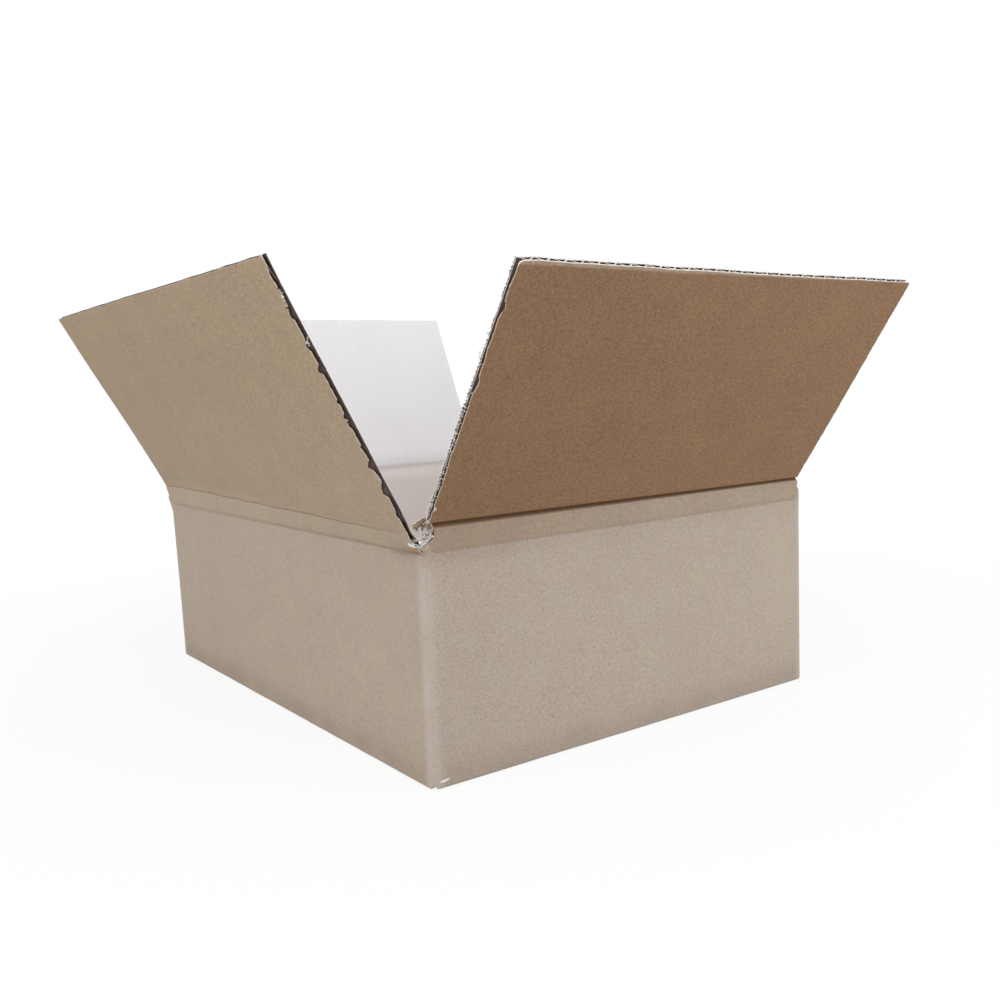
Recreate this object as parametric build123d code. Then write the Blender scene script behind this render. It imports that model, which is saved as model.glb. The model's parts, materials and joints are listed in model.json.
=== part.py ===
"""Open corrugated shipping box: one folded board with its four top flaps standing open.

The board stands on its closed bottom. X runs along the front wall, Y along the left wall, Z up,
with the origin at the centre of the footprint on the floor. All sizes are in millimetres.
"""
import os
from math import cos, pi, sqrt

from build123d import *

# Driving sizes of the set-up box, measured over its outside
WIDTH = 237.0            # front and back wall
LENGTH = 305.0           # left and right wall
FOLD_HEIGHT = 109.75     # fold of the front and back flaps above the floor
CREASE_DROP = 10.8       # second crease below that fold
SLOT_DROP = 5.6          # bottom of the corner slots below that fold
CORNER_RADIUS = 4.0      # outside of the folded wall corners
FOOT_RADIUS = 1.0        # bottom edges

# Corrugated board
BOARD = 3.8
LINER = 0.4
MEDIUM = 0.35
GLUE_LINE = 0.12         # height at which an arch of the medium ends on its liner
FLUTE_PITCH = 7.75
CRUSHED = 2.0            # board pressed flat beside a fold

# Flaps: lean away from upright as they stand, and cuts beside them
LEAN_FRONT = 34.93
LEAN_BACK = 23.51
LEAN_LEFT = 30.67
LEAN_RIGHT = 33.0
SHORT_FLAP_INSET = 2.4   # front and back flaps, each side
LONG_FLAP_INSET = 1.25   # left and right flaps, each side
SLOT_INSET = 3.6         # upper wall bands, each side
FLAP_CRUSH_LENGTH = 4.5  # pressed strip above a fold
CRUSH_RAMP = 2.0         # length over which the flutes open again

# Clearances
FOLD_GAP = 0.35          # from a fold line to the board on either side of it
FOLD_STANDOFF = 0.1      # fold line outside the wall's outer face
STACK_GAP = 0.4          # between crossed flaps when all are folded in
SEAM = 1.2               # between the tips of a pair of long flaps
BOTTOM_SEAM_SHIFT = 1.5  # bottom seam from the middle of the box
FLOOR_GAP = 0.6          # cut gaps between the bottom flaps and the walls

# Scores, slots and the glued corner
SCORE_DEPTH = 0.35
SCORE_WIDTH = 2.2
SLOT_END_RADIUS = 1.6
TAB_WIDTH = 34.0
TAB_BOARD = 2.6
TAB_MARGIN = 4.0

# Sizes that follow
HIGH_FOLD = FOLD_HEIGHT + BOARD + STACK_GAP
CREASE = FOLD_HEIGHT - CREASE_DROP
FLAP_REACH = (WIDTH - SEAM) / 2 + FOLD_STANDOFF
FLAP_START = FLAP_CRUSH_LENGTH + CRUSH_RAMP
FLOOR_TOP = 2 * BOARD


def prism(points, vector):
    """Sweep the closed polygon of 3D points along a vector."""
    return Solid.extrude(Face(Wire.make_polygon([Vector(*p) for p in points], close=True)), Vector(*vector))


def block(x0, x1, y0, y1, z0, z1):
    """Rectangular block between two opposite corners."""
    return Pos((x0 + x1) / 2, (y0 + y1) / 2, (z0 + z1) / 2) * Box(x1 - x0, y1 - y0, z1 - z0)


def medium_edge(x, pitch, crest):
    """Height above a liner of the near side of the fluted medium, x from the middle of its arch."""
    phase = 2 * pi * x / pitch
    half_wave = (crest - MEDIUM) / 2
    slope = -half_wave * 2 * pi / pitch * sqrt(max(0.0, 1 - cos(phase) ** 2))
    return half_wave * (1 + cos(phase)) - MEDIUM / 2 * (sqrt(1 + slope * slope) - 1)


def arch_half_width(pitch, crest):
    """Distance from the middle of an arch to where the medium meets the liner."""
    low, high = 0.0, pitch / 2
    for _ in range(40):
        mid = (low + high) / 2
        low, high = (mid, high) if medium_edge(mid, pitch, crest) > GLUE_LINE else (low, mid)
    return low


def board_section(width, z):
    """Face across the flutes: two liners, the waved medium, and open half flutes at both cut sides."""
    count = round(width / FLUTE_PITCH)
    pitch = width / count
    crest = BOARD - 2 * LINER
    half = arch_half_width(pitch, crest)
    low, high = FOLD_STANDOFF + LINER, FOLD_STANDOFF + BOARD - LINER
    arch = [(k * half, medium_edge(k * half, pitch, crest)) for k in (-0.72, -0.3, 0.3, 0.72)]

    def tunnel(middle, upper):
        turn = (lambda h: high - h) if upper else (lambda h: low + h)
        outline = [(-half, 0.0)] + arch + [(half, 0.0)]
        return Wire.make_polygon([Vector(middle + x, turn(h), z) for x, h in outline], close=True)

    left, right = -width / 2, width / 2
    edge = [(k * half, medium_edge(k * half, pitch, crest)) for k in (0.3, 0.72)]
    lip_low = [(left + x, low + h) for x, h in edge] + [(left + half, low)]
    lip_high = [(right - x, low + h) for x, h in edge] + [(right - half, low)]
    near, far = FOLD_STANDOFF, FOLD_STANDOFF + BOARD
    outline = [(left, near), (right, near), (right, low)] + lip_high[::-1]
    outline += [(right, low + edge[0][1]), (right, far), (left, far), (left, low + edge[0][1])]
    outline += lip_low + [(left, low)]
    outer = Wire.make_polygon([Vector(x, y, z) for x, y in outline], close=True)
    holes = [tunnel(left + (k + 0.5) * pitch, True) for k in range(count)]
    holes += [tunnel(left + k * pitch, False) for k in range(1, count)]
    return Face(outer, holes)


def flap(width, lean, facing, reach, fold_z):
    """Flap standing above its fold, leaning out from upright, on the wall that faces the given way."""
    section = board_section(width, FLAP_START)
    sheet = Solid.extrude(section, Vector(0, 0, FLAP_REACH - FLAP_START))
    inner = FOLD_STANDOFF + CRUSHED
    profile = [(FOLD_STANDOFF, FOLD_GAP), (FOLD_STANDOFF, FLAP_START), (FOLD_STANDOFF + BOARD, FLAP_START),
               (inner, FLAP_CRUSH_LENGTH), (inner, FOLD_GAP + CRUSHED)]
    strip = prism([(-width / 2, y, z) for y, z in profile], (width, 0, 0))
    standing = Rot(lean, 0, 0) * (sheet + strip)
    return Pos(0, 0, fold_z) * Rot(0, 0, facing) * Pos(0, -reach - FOLD_STANDOFF, 0) * standing


def wall_band(width, facing, reach, fold_z):
    """Upper part of a wall from the lower crease to its fold, pressed thin on the inside and mitred."""
    top = fold_z - FOLD_GAP
    profile = [(0, CREASE), (0, top), (CRUSHED, top - CRUSHED), (CRUSHED, CREASE + CRUSH_RAMP), (BOARD, CREASE)]
    side = width / 2 - SLOT_INSET
    band = prism([(-side, y, z) for y, z in profile], (2 * side, 0, 0))
    return Rot(0, 0, facing) * Pos(0, -reach, 0) * band


def score(width, facing, reach):
    """Shallow V pressed into the outside of a wall along its lower crease."""
    side = width / 2 - CORNER_RADIUS
    half = SCORE_WIDTH / 2
    profile = [(-half, CREASE - half - half), (SCORE_DEPTH, CREASE - half), (-half, CREASE)]
    groove = prism([(-side, y, z) for y, z in profile], (2 * side, 0, 0))
    return Rot(0, 0, facing) * Pos(0, -reach, 0) * groove


def corner_posts(ring):
    """Folded wall corners standing above the lower crease up to the bottoms of the slots."""
    posts = extrude(ring, FOLD_HEIGHT - SLOT_DROP - CREASE)
    in_x, in_y = WIDTH / 2 - BOARD, LENGTH / 2 - BOARD
    posts = posts - [Box(2 * in_x, 2 * LENGTH, 2 * FOLD_HEIGHT), Box(2 * WIDTH, 2 * in_y, 2 * FOLD_HEIGHT)]
    return Pos(0, 0, CREASE) * posts


def closed_bottom():
    """Cuts that part the four bottom flaps from each other and from the walls."""
    in_x, in_y = WIDTH / 2 - BOARD, LENGTH / 2 - BOARD
    tip_y = LENGTH / 2 - (WIDTH - SEAM) / 2
    seam_x = BOTTOM_SEAM_SHIFT - SEAM / 2
    cuts = [block(seam_x, seam_x + SEAM, -in_y, in_y, -1, BOARD)]
    cuts += [block(-in_x, in_x, -tip_y, tip_y, BOARD, FLOOR_TOP + 1)]
    for side in (-1, 1):
        edge_y = sorted((side * in_y, side * (in_y - FLOOR_GAP)))
        edge_x = sorted((side * in_x, side * (in_x - FLOOR_GAP)))
        cuts.append(block(-in_x, in_x, *edge_y, -1, BOARD))
        cuts.append(block(*edge_x, -in_y, in_y, BOARD, FLOOR_TOP + 1))
    return cuts


def slot_ends():
    """Round ends of the bottom slots, left as small holes at the foot of each corner."""
    hole = Rot(0, 90, 0) * Cylinder(SLOT_END_RADIUS, 4 * BOARD)
    return [Pos(x * WIDTH / 2, y * LENGTH / 2, 0) * Rot(0, 0, 45 * x * y) * hole for x in (-1, 1) for y in (-1, 1)]


def glued_corner():
    """Tab of the back wall lying inside the right wall, and the cut that shows outside beside it."""
    x, y = WIDTH / 2 - BOARD, LENGTH / 2 - BOARD
    bottom, top = FLOOR_TOP + TAB_MARGIN, CREASE - TAB_MARGIN
    slant = TAB_WIDTH / 4
    outline = [(x, y, bottom), (x, y, top), (x, y - TAB_WIDTH, top - slant), (x, y - TAB_WIDTH, bottom + slant)]
    tab = prism(outline, (-TAB_BOARD, 0, 0))
    cut_y = LENGTH / 2 - CORNER_RADIUS
    cut = block(WIDTH / 2 - BOARD / 2, WIDTH / 2 + 1, cut_y - FLOOR_GAP, cut_y, FLOOR_TOP, CREASE + 1)
    return tab, cut


def box_body():
    """Walls, pressed upper bands and closed bottom as the one folded board below the flaps."""
    ring = RectangleRounded(WIDTH, LENGTH, CORNER_RADIUS)
    shell = extrude(ring, CREASE)
    shell = fillet(shell.edges().group_by(Axis.Z)[0], FOOT_RADIUS)
    hollow = extrude(RectangleRounded(WIDTH - 2 * BOARD, LENGTH - 2 * BOARD, CORNER_RADIUS / 4), CREASE)
    shell -= Pos(0, 0, FLOOR_TOP) * hollow
    tab, cut = glued_corner()
    shell = shell - closed_bottom() - slot_ends() - [cut]
    walls = [(WIDTH, 0, LENGTH / 2, FOLD_HEIGHT), (WIDTH, 180, LENGTH / 2, FOLD_HEIGHT),
             (LENGTH, -90, WIDTH / 2, HIGH_FOLD), (LENGTH, 90, WIDTH / 2, HIGH_FOLD)]
    shell = shell - [score(w, facing, reach) for w, facing, reach, _ in walls]
    return shell + tab + corner_posts(ring) + [wall_band(*wall) for wall in walls]


short = WIDTH - 2 * SHORT_FLAP_INSET
long = LENGTH - 2 * LONG_FLAP_INSET
nodes = {
    "box_body": box_body(),
    "front_flap": flap(short, LEAN_FRONT, 0, LENGTH / 2, FOLD_HEIGHT),
    "back_flap": flap(short, LEAN_BACK, 180, LENGTH / 2, FOLD_HEIGHT),
    "left_flap": flap(long, LEAN_LEFT, -90, WIDTH / 2, HIGH_FOLD),
    "right_flap": flap(long, LEAN_RIGHT, 90, WIDTH / 2, HIGH_FOLD),
}

os.makedirs("parts", exist_ok=True)
for name, shape in nodes.items():
    export_step(shape, f"parts/{name}.step")
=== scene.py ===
"""Looks of an open corrugated shipping box: worn kraft outside, white liner inside, torn flap edges."""
import json
from functools import partial
from types import SimpleNamespace

import bpy
import numpy as np
from bpy.props import FloatProperty, FloatVectorProperty, IntProperty, PointerProperty
from bpy.types import Operator, Panel, PropertyGroup
from mathutils import Matrix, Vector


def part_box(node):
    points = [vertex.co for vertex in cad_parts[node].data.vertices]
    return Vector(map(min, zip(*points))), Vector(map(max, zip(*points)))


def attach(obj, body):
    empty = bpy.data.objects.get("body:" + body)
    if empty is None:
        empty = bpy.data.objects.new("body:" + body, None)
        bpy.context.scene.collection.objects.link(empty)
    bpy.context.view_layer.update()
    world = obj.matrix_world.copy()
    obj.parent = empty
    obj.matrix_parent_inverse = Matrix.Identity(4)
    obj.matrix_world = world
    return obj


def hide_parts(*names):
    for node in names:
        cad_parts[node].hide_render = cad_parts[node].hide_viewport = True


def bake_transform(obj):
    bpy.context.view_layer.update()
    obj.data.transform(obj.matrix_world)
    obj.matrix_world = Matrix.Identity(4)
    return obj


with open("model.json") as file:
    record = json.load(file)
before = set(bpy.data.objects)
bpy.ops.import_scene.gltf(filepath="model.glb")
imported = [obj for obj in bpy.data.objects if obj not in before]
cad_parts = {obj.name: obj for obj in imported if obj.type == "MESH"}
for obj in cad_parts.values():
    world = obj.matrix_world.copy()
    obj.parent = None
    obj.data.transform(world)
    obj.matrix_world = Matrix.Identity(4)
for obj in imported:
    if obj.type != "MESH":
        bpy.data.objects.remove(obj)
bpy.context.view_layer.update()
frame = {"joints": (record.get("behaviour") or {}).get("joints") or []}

bl_info = {
    "name": "Corrugated box",
    "version": (1, 0, 0),
    "blender": (4, 5, 0),
    "location": "View3D > Sidebar > Box",
    "description": "Dresses a folded corrugated box with liners, flutes, creases and torn edges",
    "category": "Object",
}

BODY_LOW, BODY_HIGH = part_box("box_body")
FOLD_Z = {joint["child"]: joint["pos_m"][2] for joint in frame["joints"]}
UP = np.array((0.0, 0.0, 1.0))
MM = 0.001


def length(name, description, default):
    """A length property in metres."""
    return FloatProperty(name=name, description=description, default=default, unit="LENGTH", precision=5)


def colour(name, description, default):
    """A linear colour property."""
    return FloatVectorProperty(name=name, description=description, default=default, subtype="COLOR",
                               size=3, min=0.0, max=1.0)


class BoxSizes(PropertyGroup):
    """Sizes of the board and of its folds."""
    width: length("Width", "Front wall, outside", BODY_HIGH.x - BODY_LOW.x)
    depth: length("Length", "Left wall, outside", BODY_HIGH.y - BODY_LOW.y)
    crease_z: length("Lower crease", "Height of the lower crease", 0.09895)
    flap_reach: length("Flap reach", "Fold to flap tip", 0.118)
    board: length("Board", "Board thickness of walls and bottom", 0.0038)
    flap_board: length("Flap board", "Worn board thickness of the flaps", 0.0032)
    pressed: length("Pressed board", "Board thickness at a fold", 0.0020)
    liner: length("Liner", "Thickness of a liner", 0.00042)
    medium: length("Medium", "Thickness of the fluted sheet", 0.00028)
    flute_pitch: length("Flute pitch", "Distance between flutes", 0.00775)
    corner_radius: length("Corner radius", "Outside of the wall corners", 0.004)
    foot_radius: length("Foot radius", "Bottom edges", 0.0010)
    slot_inset: length("Slot inset", "Wall end to the side of an upper band", 0.0036)
    slot_rise: length("Slot rise", "Slot bottoms above the lower crease", 0.0052)
    seam: length("Bottom seam", "Gap between the bottom flaps", 0.0012)
    seam_shift: length("Seam shift", "Bottom seam from the middle", 0.0015)
    tab_width: length("Glue tab", "Width of the glued corner tab", 0.034)
    seed: IntProperty(name="Wear seed", description="Start of the random wear", default=11)


class BoxColours(PropertyGroup):
    """Linear colours of the papers; several are the same paper painted as it looks in shade."""
    wall: colour("Wall", "Outside of the walls", (0.449, 0.379, 0.312))
    # Painted shade: front_band, front_flap, side_band and side_flap are the wall kraft painted darker and
    # warmer as it looks in shade. The bands lie in the soft shadow of their flaps, and the flaps face down,
    # away from the light.
    front_band: colour("Front band", "Strip below the front fold", (0.396, 0.311, 0.235))
    front_flap: colour("Front flap", "Outside of the front flap", (0.290, 0.174, 0.100))
    side_band: colour("Side band", "Strip below the side folds", (0.437, 0.350, 0.262))
    side_flap: colour("Side flap", "Outside of the other flaps", (0.386, 0.290, 0.196))
    inside: colour("Inside liner", "White inside paper of the flaps", (0.800, 0.785, 0.795))
    # Painted shade: the white liner painted as it looks in the shade inside the box, used on the inside of
    # the walls and the bottom.
    shaded_inside_wall: colour("Inside walls", "Inside paper of walls and bottom", (0.720, 0.668, 0.643))
    # Painted warm light and shade: a browner kraft for the warmer light on the left wall, and the warm shade
    # at the left band's front end and at the front band's left end.
    stain: colour("Stain", "Browner paper beside the torn corner", (0.330, 0.215, 0.140))
    rubbed: colour("Rubbed corner", "Paper rubbed pale along the wall corners", (0.482, 0.434, 0.408))
    torn: colour("Torn paper", "Torn fibres of the white liner", (0.740, 0.700, 0.660))
    cut: colour("Cut edge", "Cut edge of the kraft liner", (0.540, 0.435, 0.340))
    # Painted shade: the fluting is painted as dark as it looks in the shade inside the board. Its paper also
    # stands for shade in the torn corner.
    fluting: colour("Fluting", "Waved middle sheet", (0.110, 0.079, 0.069))


def watts(name, description, default):
    """A lamp's power property in watts."""
    return FloatProperty(name=name, description=description, default=default, unit="POWER")


class StudioSettings(PropertyGroup):
    """Light and floor."""
    key: watts("Key light", "Power of the high front lamp", 8.2)
    side: watts("Side light", "Power of the low left lamp", 7.2)
    fill: watts("Fill light", "Power of the low right lamp", 2.2)
    ambient: FloatProperty(name="Ambient", description="Strength of the surrounding light", default=0.65,
                           min=0.0)
    floor: colour("Floor", "Colour of the floor", (0.62, 0.62, 0.62))


def sizes():
    """Size settings of the scene."""
    return bpy.context.scene.box_sizes


def colours():
    """Colour settings of the scene."""
    return bpy.context.scene.box_colours


# Walls and their flaps

def wall_table():
    """The four walls in order: s runs to the right along each as seen from outside, t up from the fold.

    A row holds the name, the ways along and out, the flap's lean in degrees and the inset of its sides.
    Pairs for the two ends follow: how far the wall's top has moved out, how far the upper band leans out in
    degrees, and the band's length from lower crease to fold. Lengths are in millimetres.
    """
    z = sizes()
    rows = (
        ("front", (1, 0, 0), (0, -1, 0), 34.93, 2.4, (0.0, 0.0), (5.0, 3.0), (10.9, 10.9)),
        ("right", (0, 1, 0), (1, 0, 0), 33.0, 1.25, (2.4, 0.0), (3.0, 13.0), (11.4, 11.6)),
        ("back", (-1, 0, 0), (0, 1, 0), 23.51, 2.4, (0.0, 0.0), (3.0, 4.0), (10.9, 10.9)),
        ("left", (0, -1, 0), (-1, 0, 0), 30.67, 1.25, (1.6, 0.0), (12.0, 28.0), (12.5, 10.0)),
    )
    walls = []
    for name, along, out, lean, inset, base, tilt, band in rows:
        short = name in ("front", "back")
        width, apart = (z.width, z.depth) if short else (z.depth, z.width)
        walls.append(SimpleNamespace(
            name=name, body=name + "_flap", short=short, half=apart / 2, width=width,
            along=np.array(along, float), out=np.array(out, float), lean=np.radians(lean), inset=inset * MM,
            base=np.array(base) * MM, tilt=np.radians(tilt), band=np.array(band) * MM,
            fold_z=FOLD_Z[name + "_flap"]))
    return walls


def share_of(wall, s):
    """Share of a wall's width at a place along it, 0 at its left end and 1 at its right."""
    return s / wall.width + 0.5


def part_way(a, b, share):
    """Value a share of the way from a to b."""
    return a + (b - a) * share


def wander(t, seed, step):
    """Random line through even knots: values in -1 to 1 every step, eased from knot to knot."""
    t = np.asarray(t, float) / step
    low = np.floor(t.min()) - 1
    knots = np.random.default_rng(seed).uniform(-1, 1, int(np.ceil(t.max()) - low) + 3)
    k = np.floor(t - low).astype(int)
    f = ease(t - low - k)
    return knots[k] * (1 - f) + knots[k + 1] * f


DRIFT_KNOTS = 256   # knots of a random sheet, each way
DRIFT_ZERO = 60.5   # place among the knots of the sheet's own zero


def drift(a, b, seed, step):
    """Slow two-way random sheet: knots on an even net, eased in both directions, values in -1 to 1."""
    a, b = np.broadcast_arrays(*(np.asarray(way, float) / step + DRIFT_ZERO for way in (a, b)))
    ka, kb = np.floor(a).astype(int), np.floor(b).astype(int)
    fa, fb = ease(a - ka), ease(b - kb)
    net = np.random.default_rng(seed).uniform(-1, 1, (DRIFT_KNOTS, DRIFT_KNOTS))
    low = net[ka, kb] * (1 - fb) + net[ka, kb + 1] * fb
    high = net[ka + 1, kb] * (1 - fb) + net[ka + 1, kb + 1] * fb
    return low * (1 - fa) + high * fa


def ease(x):
    """Smooth step from 0 to 1."""
    x = np.clip(x, 0.0, 1.0)
    return x * x * (3 - 2 * x)


def ramp(x, start, run):
    """Smooth step of a length from 0 at a start to 1 after a run, both in millimetres."""
    return ease((x - start * MM) / (run * MM))


def bell(x, wide, at=0.0, power=2):
    """Bell curve of a length, 1 at a place and 1/e a width from it, both in millimetres."""
    return np.exp(-((x - at * MM) / (wide * MM)) ** power)


def fall(x, run):
    """Fall of a length from 1 at zero to 1/e after a run in millimetres."""
    return np.exp(-x / (run * MM))


def fold_point(wall, share):
    """Fold and flap tip at a share of a wall's width, as outward offset and height, with tilt and band."""
    z = sizes()
    base, tilt, band = (part_way(*pair, share) for pair in (wall.base, wall.tilt, wall.band))
    fold = base + band * np.sin(tilt), z.crease_z + band * np.cos(tilt)
    tip = z.flap_reach * np.sin(wall.lean), wall.fold_z + z.flap_reach * np.cos(wall.lean)
    return fold, tip, tilt, band


FOLD_ROUND = 1.0 * MM   # reach of the rounding of a fold


def leaf_line(wall, s, b):
    """Outer face of a band and its flap: outward offset n, height, unit normal, t and distance up the band.

    b below -1 is the wall, -1 to 0 the band, 0 to 1 the flap. With fold point F and the straight ways d1 of
    the band and d2 of the flap, the line is F + d1 (t - q) + d2 q, where q = (t + sqrt(t t + r r)) / 2
    rounds the fold.
    """
    (fold_n, fold_z), (tip_n, tip_z), tilt, band = fold_point(wall, ease(share_of(wall, s)))
    run = np.hypot(tip_n - fold_n, tip_z - fold_z)
    d2 = (tip_n - fold_n) / run, (tip_z - fold_z) / run
    d1 = np.sin(tilt), np.cos(tilt)
    t = np.where(b < 0, b * band, b * run)
    rise = t + band
    sunk = np.minimum(rise + 1e-9, 0.0)
    t = t - sunk
    root = np.sqrt(t * t + FOLD_ROUND ** 2)
    q, dq = (t + root) / 2, (1 + t / root) / 2
    n, h = (fold + a * (t - q) + c * q for fold, a, c in zip((fold_n, fold_z), d1, d2))
    tn, th = (part_way(a, c, dq) for a, c in zip(d1, d2))
    size = np.hypot(tn, th)
    nn, nh = np.where(sunk < 0, 1.0, th / size), np.where(sunk < 0, 0.0, -tn / size)
    return n, h + sunk, nn, nh, t, rise


def place(wall, s, n, h):
    """Points from the place along a wall, the outward offset and the height."""
    s, n, h = np.broadcast_arrays(s, n, h)
    return s[..., None] * wall.along + (wall.half + n)[..., None] * wall.out + h[..., None] * UP


def below_face(wall, s, line, depth):
    """Points at a depth under the outer face that a leaf line gives."""
    n, h, nn, nh = line[:4]
    return place(wall, s, n - depth * nn, h - depth * nh)


# Meshes

def grid_quads(rows, cols, closed=False, looped=False):
    """Quads of a grid in row order; closed joins the last column to the first, looped the last row."""
    r = np.arange(rows if looped else rows - 1)[:, None]
    c = np.arange(cols if closed else cols - 1)[None, :]
    m, n = (r + 1) % rows, (c + 1) % cols
    return np.stack([r * cols + c, r * cols + n, m * cols + n, m * cols + c], -1).reshape(-1, 4)


def slab(front, back):
    """Closed sheet between two grids of points: the front, the back turned over, and a rim of quads.

    The side of each face is 0 on the front, 1 on the back and 2 on the rim.
    """
    rows, cols = front.shape[:2]
    quads = grid_quads(rows, cols)
    index = np.arange(rows * cols).reshape(rows, cols)
    loop = np.concatenate([index[0, :-1], index[:-1, -1], index[-1, :0:-1], index[:0:-1, 0]])
    turn = np.roll(loop, -1)
    count = rows * cols
    rim = np.stack([turn, loop, loop + count, turn + count], -1)
    faces = np.concatenate([quads, quads[:, ::-1] + count, rim])
    side = np.repeat([0, 1, 2], [len(quads), len(quads), len(rim)])
    return np.concatenate([front.reshape(-1, 3), back.reshape(-1, 3)]), faces, side


def two_sided_uv(a, b):
    """UV places of both faces of a slab from the two coordinates of its net."""
    return np.tile(np.stack([a, b], -1).reshape(-1, 2), (2, 1))


SHARP_ANGLE = 35.0   # degrees between faces from which an edge is drawn sharp


def make_piece(name, shape, materials, uv=None, marks=None):
    """Mesh object at the origin from its points, quads and sides, with a UV map and point marks."""
    points, faces, side = shape
    mesh = bpy.data.meshes.new(name)
    mesh.from_pydata(points.tolist(), [], faces.tolist())
    if mesh.validate():
        raise RuntimeError(f"{name} has faces that can't be used")
    for material in materials:
        mesh.materials.append(material)
    mesh.polygons.foreach_set("material_index", side.astype(np.int32))
    mesh.polygons.foreach_set("use_smooth", np.ones(len(faces), bool))
    if uv is not None:
        layer = mesh.uv_layers.new(name="board")
        corner = np.empty(len(mesh.loops), np.int32)
        mesh.loops.foreach_get("vertex_index", corner)
        layer.data.foreach_set("uv", uv[corner].astype(np.float32).ravel())
    for key, values in (marks or {}).items():
        layer = mesh.attributes.new(key, "FLOAT", "POINT")
        layer.data.foreach_set("value", values.astype(np.float32).ravel())
    mesh.update()
    mesh.set_sharp_from_angle(angle=np.radians(SHARP_ANGLE))
    piece = bpy.data.objects.new(name, mesh)
    bpy.context.scene.collection.objects.link(piece)
    return piece


# Materials

def new_group(name, inputs, outputs):
    """Empty shader node group with named sockets, and its two ends; a name that ends in color is a colour."""
    group = bpy.data.node_groups.new(name, "ShaderNodeTree")
    for way, labels in (("INPUT", inputs), ("OUTPUT", outputs)):
        for label in labels:
            kind = "NodeSocketColor" if label.lower().endswith("color") else "NodeSocketFloat"
            group.interface.new_socket(label, in_out=way, socket_type=kind)
    return group, group.nodes.new("NodeGroupInput").outputs, group.nodes.new("NodeGroupOutput").inputs


def fill(tree, slot, value):
    """Give a socket a link, a number, or a colour or vector."""
    if isinstance(value, bpy.types.NodeSocket):
        tree.links.new(value, slot)
    elif isinstance(value, tuple):
        slot.default_value = (*value, 1.0)[:len(slot.default_value)]
    else:
        slot.default_value = value


def add_node(tree, kind, group=None, **values):
    """Node of a kind with its sockets filled; an underscore in a socket's name stands for a space."""
    node = tree.nodes.new("ShaderNode" + kind)
    if group is not None:
        node.node_tree = group
    for label, value in values.items():
        fill(tree, node.inputs[label.replace("_", " ")], value)
    return node


def maths(tree, operation, *values):
    """Math node; each value is a socket or a number."""
    node = tree.nodes.new("ShaderNodeMath")
    node.operation = operation
    for slot, value in zip(node.inputs, values):
        fill(tree, slot, value)
    return node.outputs[0]


MIX_SLOTS = (0, 6, 7)   # sockets of a colour mix node: factor, first and second colour
MIX_RESULT = 2


def mixed(tree, factor, a, b, blend="MIX"):
    """Colour mix node; each value is a socket, a number or a colour."""
    node = tree.nodes.new("ShaderNodeMix")
    node.data_type, node.blend_type = "RGBA", blend
    for slot, value in zip(MIX_SLOTS, (factor, a, b)):
        fill(tree, node.inputs[slot], value)
    return node.outputs[MIX_RESULT]


def noise(tree, vector, scale, detail, rough):
    """Noise about zero at a scale per metre."""
    node = add_node(tree, "TexNoise", Vector=vector, Scale=scale, Detail=detail, Roughness=rough)
    return maths(tree, "SUBTRACT", node.outputs["Fac"], 0.5)


def span(tree, value, low, high, to_low=0.0, to_high=1.0):
    """Clamped linear map of a value."""
    return add_node(tree, "MapRange", Value=value, From_Min=low, From_Max=high, To_Min=to_low,
                    To_Max=to_high).outputs["Result"]


def turned(tree, vector, angles, scale):
    """Coordinates turned and stretched by a Mapping node."""
    return add_node(tree, "Mapping", Vector=vector, Rotation=angles, Scale=scale).outputs["Vector"]


def dots(tree, vector, scale, share, radius, soft):
    """Sparse round specks: 1 inside a circle about some of the random points of a cell pattern."""
    op = partial(maths, tree)
    cells = add_node(tree, "TexVoronoi", Vector=vector, Scale=scale).outputs
    chance, size, _ = add_node(tree, "SeparateColor", Color=cells["Color"]).outputs
    inward = op("SUBTRACT", op("MULTIPLY", size, radius * scale), cells["Distance"])
    edge = op("DIVIDE", inward, soft * radius * scale)
    inside = op("MINIMUM", op("MAXIMUM", edge, 0.0), 1.0)
    return op("MULTIPLY", inside, op("LESS_THAN", chance, share))


def fibre_group():
    """Paper: cloudy tone and hue, fine grain, short fibres, and sparse dark and light specks."""
    if "Paper fibres" in bpy.data.node_groups:
        return bpy.data.node_groups["Paper fibres"]
    inputs = "Color", "Cloud", "Grain", "Specks", "Hue"
    tree, ins, outs = new_group("Paper fibres", inputs, ("Color", "Height"))
    op = partial(maths, tree)
    where = add_node(tree, "TexCoord").outputs["Object"]
    cloud = noise(tree, where, 30.0, 6.0, 0.62)
    grain = noise(tree, where, 820.0, 3.0, 0.6)
    strand = noise(tree, turned(tree, where, (0.4, 0.7, 0.5), (900.0, 2600.0, 2100.0)), 1.0, 1.0, 0.5)
    height = op("ADD", grain, op("MULTIPLY", strand, 0.6))
    shade = op("MULTIPLY_ADD", cloud, ins["Cloud"], 1.0)
    shade = op("MULTIPLY_ADD", height, ins["Grain"], shade)
    fleck = dots(tree, where, 480.0, 0.8, 0.85 * MM, 0.7)
    dark = op("MULTIPLY_ADD", fleck, 0.45, dots(tree, where, 150.0, 0.3, 0.6 * MM, 0.3))
    light = dots(tree, where, 260.0, 0.5, 0.6 * MM, 0.6)
    shade = op("SUBTRACT", shade, op("MULTIPLY", dark, ins["Specks"]))
    shade = op("MULTIPLY_ADD", light, op("MULTIPLY", ins["Specks"], 0.7), shade)
    hue = op("MULTIPLY", noise(tree, where, 60.0, 1.0, 0.5), ins["Hue"])
    green, blue = op("ADD", shade, hue), op("SUBTRACT", shade, hue)
    tint = add_node(tree, "CombineColor", Red=shade, Green=green, Blue=blue)
    tree.links.new(mixed(tree, 1.0, ins["Color"], tint.outputs[0], "MULTIPLY"), outs["Color"])
    tree.links.new(height, outs["Height"])
    return tree


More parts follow.
